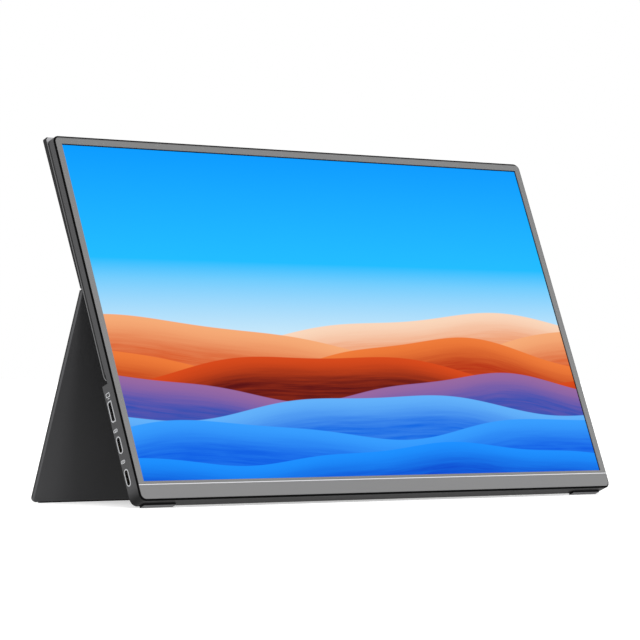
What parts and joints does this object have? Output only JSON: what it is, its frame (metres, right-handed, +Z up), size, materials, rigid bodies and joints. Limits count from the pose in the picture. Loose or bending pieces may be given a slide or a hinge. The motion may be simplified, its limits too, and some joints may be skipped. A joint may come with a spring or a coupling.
{
  "type": "portable monitor",
  "caption": "Slim flat-screen portable monitor leaning back on a full-width hinged kickstand, with a deeper block of electronics along the bottom and sockets in one side.",
  "frame": {"origin": "on the floor, at the centre of the footprint of the standing monitor", "axes": "+Z up, +X to the right as seen by a viewer in front of the screen, -Y towards that viewer"},
  "size_m": [0.3547, 0.0964, 0.1985],
  "materials": {
    "bezel_paint": "satin grey",
    "polished_edge": "polished",
    "seam_rubber": "matt black",
    "foot_rubber": "matt black",
    "screen_glass": "glossy, lit from behind",
    "clear_film": "frosted",
    "white_plastic": "matt white",
    "tray_metal": "plain",
    "dark_anodised": "satin dark grey",
    "silver_anodised": "satin silver",
    "dark_plastic": "matt dark grey",
    "steel": "brushed",
    "board": "satin dark green",
    "chip": "satin black",
    "black_plastic": "matt black",
    "tape": "matt black",
    "flat_cable": "satin white",
    "cone_paper": "matt black"
  },
  "bodies": {
    "monitor": {"front_bezel": "bezel_paint", "chin_trim": "polished_edge", "chin_bar": "bezel_paint", "front_gasket": "seam_rubber", "bezel_tape": "tape", "lcd_cell": "screen_glass", "optical_films": "clear_film", "light_guide": "clear_film", "reflector_sheet": "white_plastic", "lamp_bar": "white_plastic", "moulded_frame": "white_plastic", "panel_tray": "tray_metal", "panel_driver_board": "board", "panel_tapes": "tape", "housing_frame": "dark_anodised", "front_pad_left": "foot_rubber", "front_pad_right": "foot_rubber", "mid_plate": "steel", "back_pan": "tray_metal", "rear_cover": "silver_anodised", "plate_adhesive": "tape", "back_plate": "dark_plastic", "hinge_left_fixed_leaf": "steel", "hinge_left_pin": "steel", "hinge_right_fixed_leaf": "steel", "hinge_right_pin": "steel", "lower_back_cover": "dark_plastic", "mini_hdmi_shell": "steel", "mini_hdmi_insulator": "black_plastic", "usb_c_upper_shell": "steel", "usb_c_upper_insulator": "black_plastic", "usb_c_lower_shell": "steel", "usb_c_lower_insulator": "black_plastic", "main_board": "board", "shield_can": "tray_metal", "board_chips": "chip", "board_screws": "steel", "display_cable": "flat_cable", "key_cable": "flat_cable", "speaker_left_cable": "flat_cable", "speaker_right_cable": "flat_cable", "speaker_left": "black_plastic", "speaker_left_cone": "cone_paper", "speaker_right": "black_plastic", "speaker_right_cone": "cone_paper", "key_board": "board", "key_switches": "chip", "headphone_jack": "black_plastic"},
    "kickstand": {"kickstand_leg": "dark_anodised", "foot_strip": "foot_rubber", "hinge_left_moving_leaf": "steel", "hinge_right_moving_leaf": "steel"},
    "key_power_body": {"key_power": "dark_plastic"},
    "key_plus_body": {"key_plus": "dark_plastic"},
    "key_minus_body": {"key_minus": "dark_plastic"}
  },
  "joints": [
    {"name": "kickstand_hinge", "type": "hinge", "parent": "monitor", "child": "kickstand", "pos_m": [0, 0.00405, 0.11443], "axis": [1, 0, 0], "range_deg": [-39.6, 37.4]},
    {"name": "key_power_press", "type": "slide", "parent": "monitor", "child": "key_power_body", "axis": [-1, 0, 0], "range_m": [0, 0.00035], "stiffness_N_per_m": 400, "springref_m": -0.0005},
    {"name": "key_plus_press", "type": "slide", "parent": "monitor", "child": "key_plus_body", "axis": [-1, 0, 0], "range_m": [0, 0.00035], "stiffness_N_per_m": 400, "springref_m": -0.0005},
    {"name": "key_minus_press", "type": "slide", "parent": "monitor", "child": "key_minus_body", "axis": [-1, 0, 0], "range_m": [0, 0.00035], "stiffness_N_per_m": 400, "springref_m": -0.0005}
  ]
}
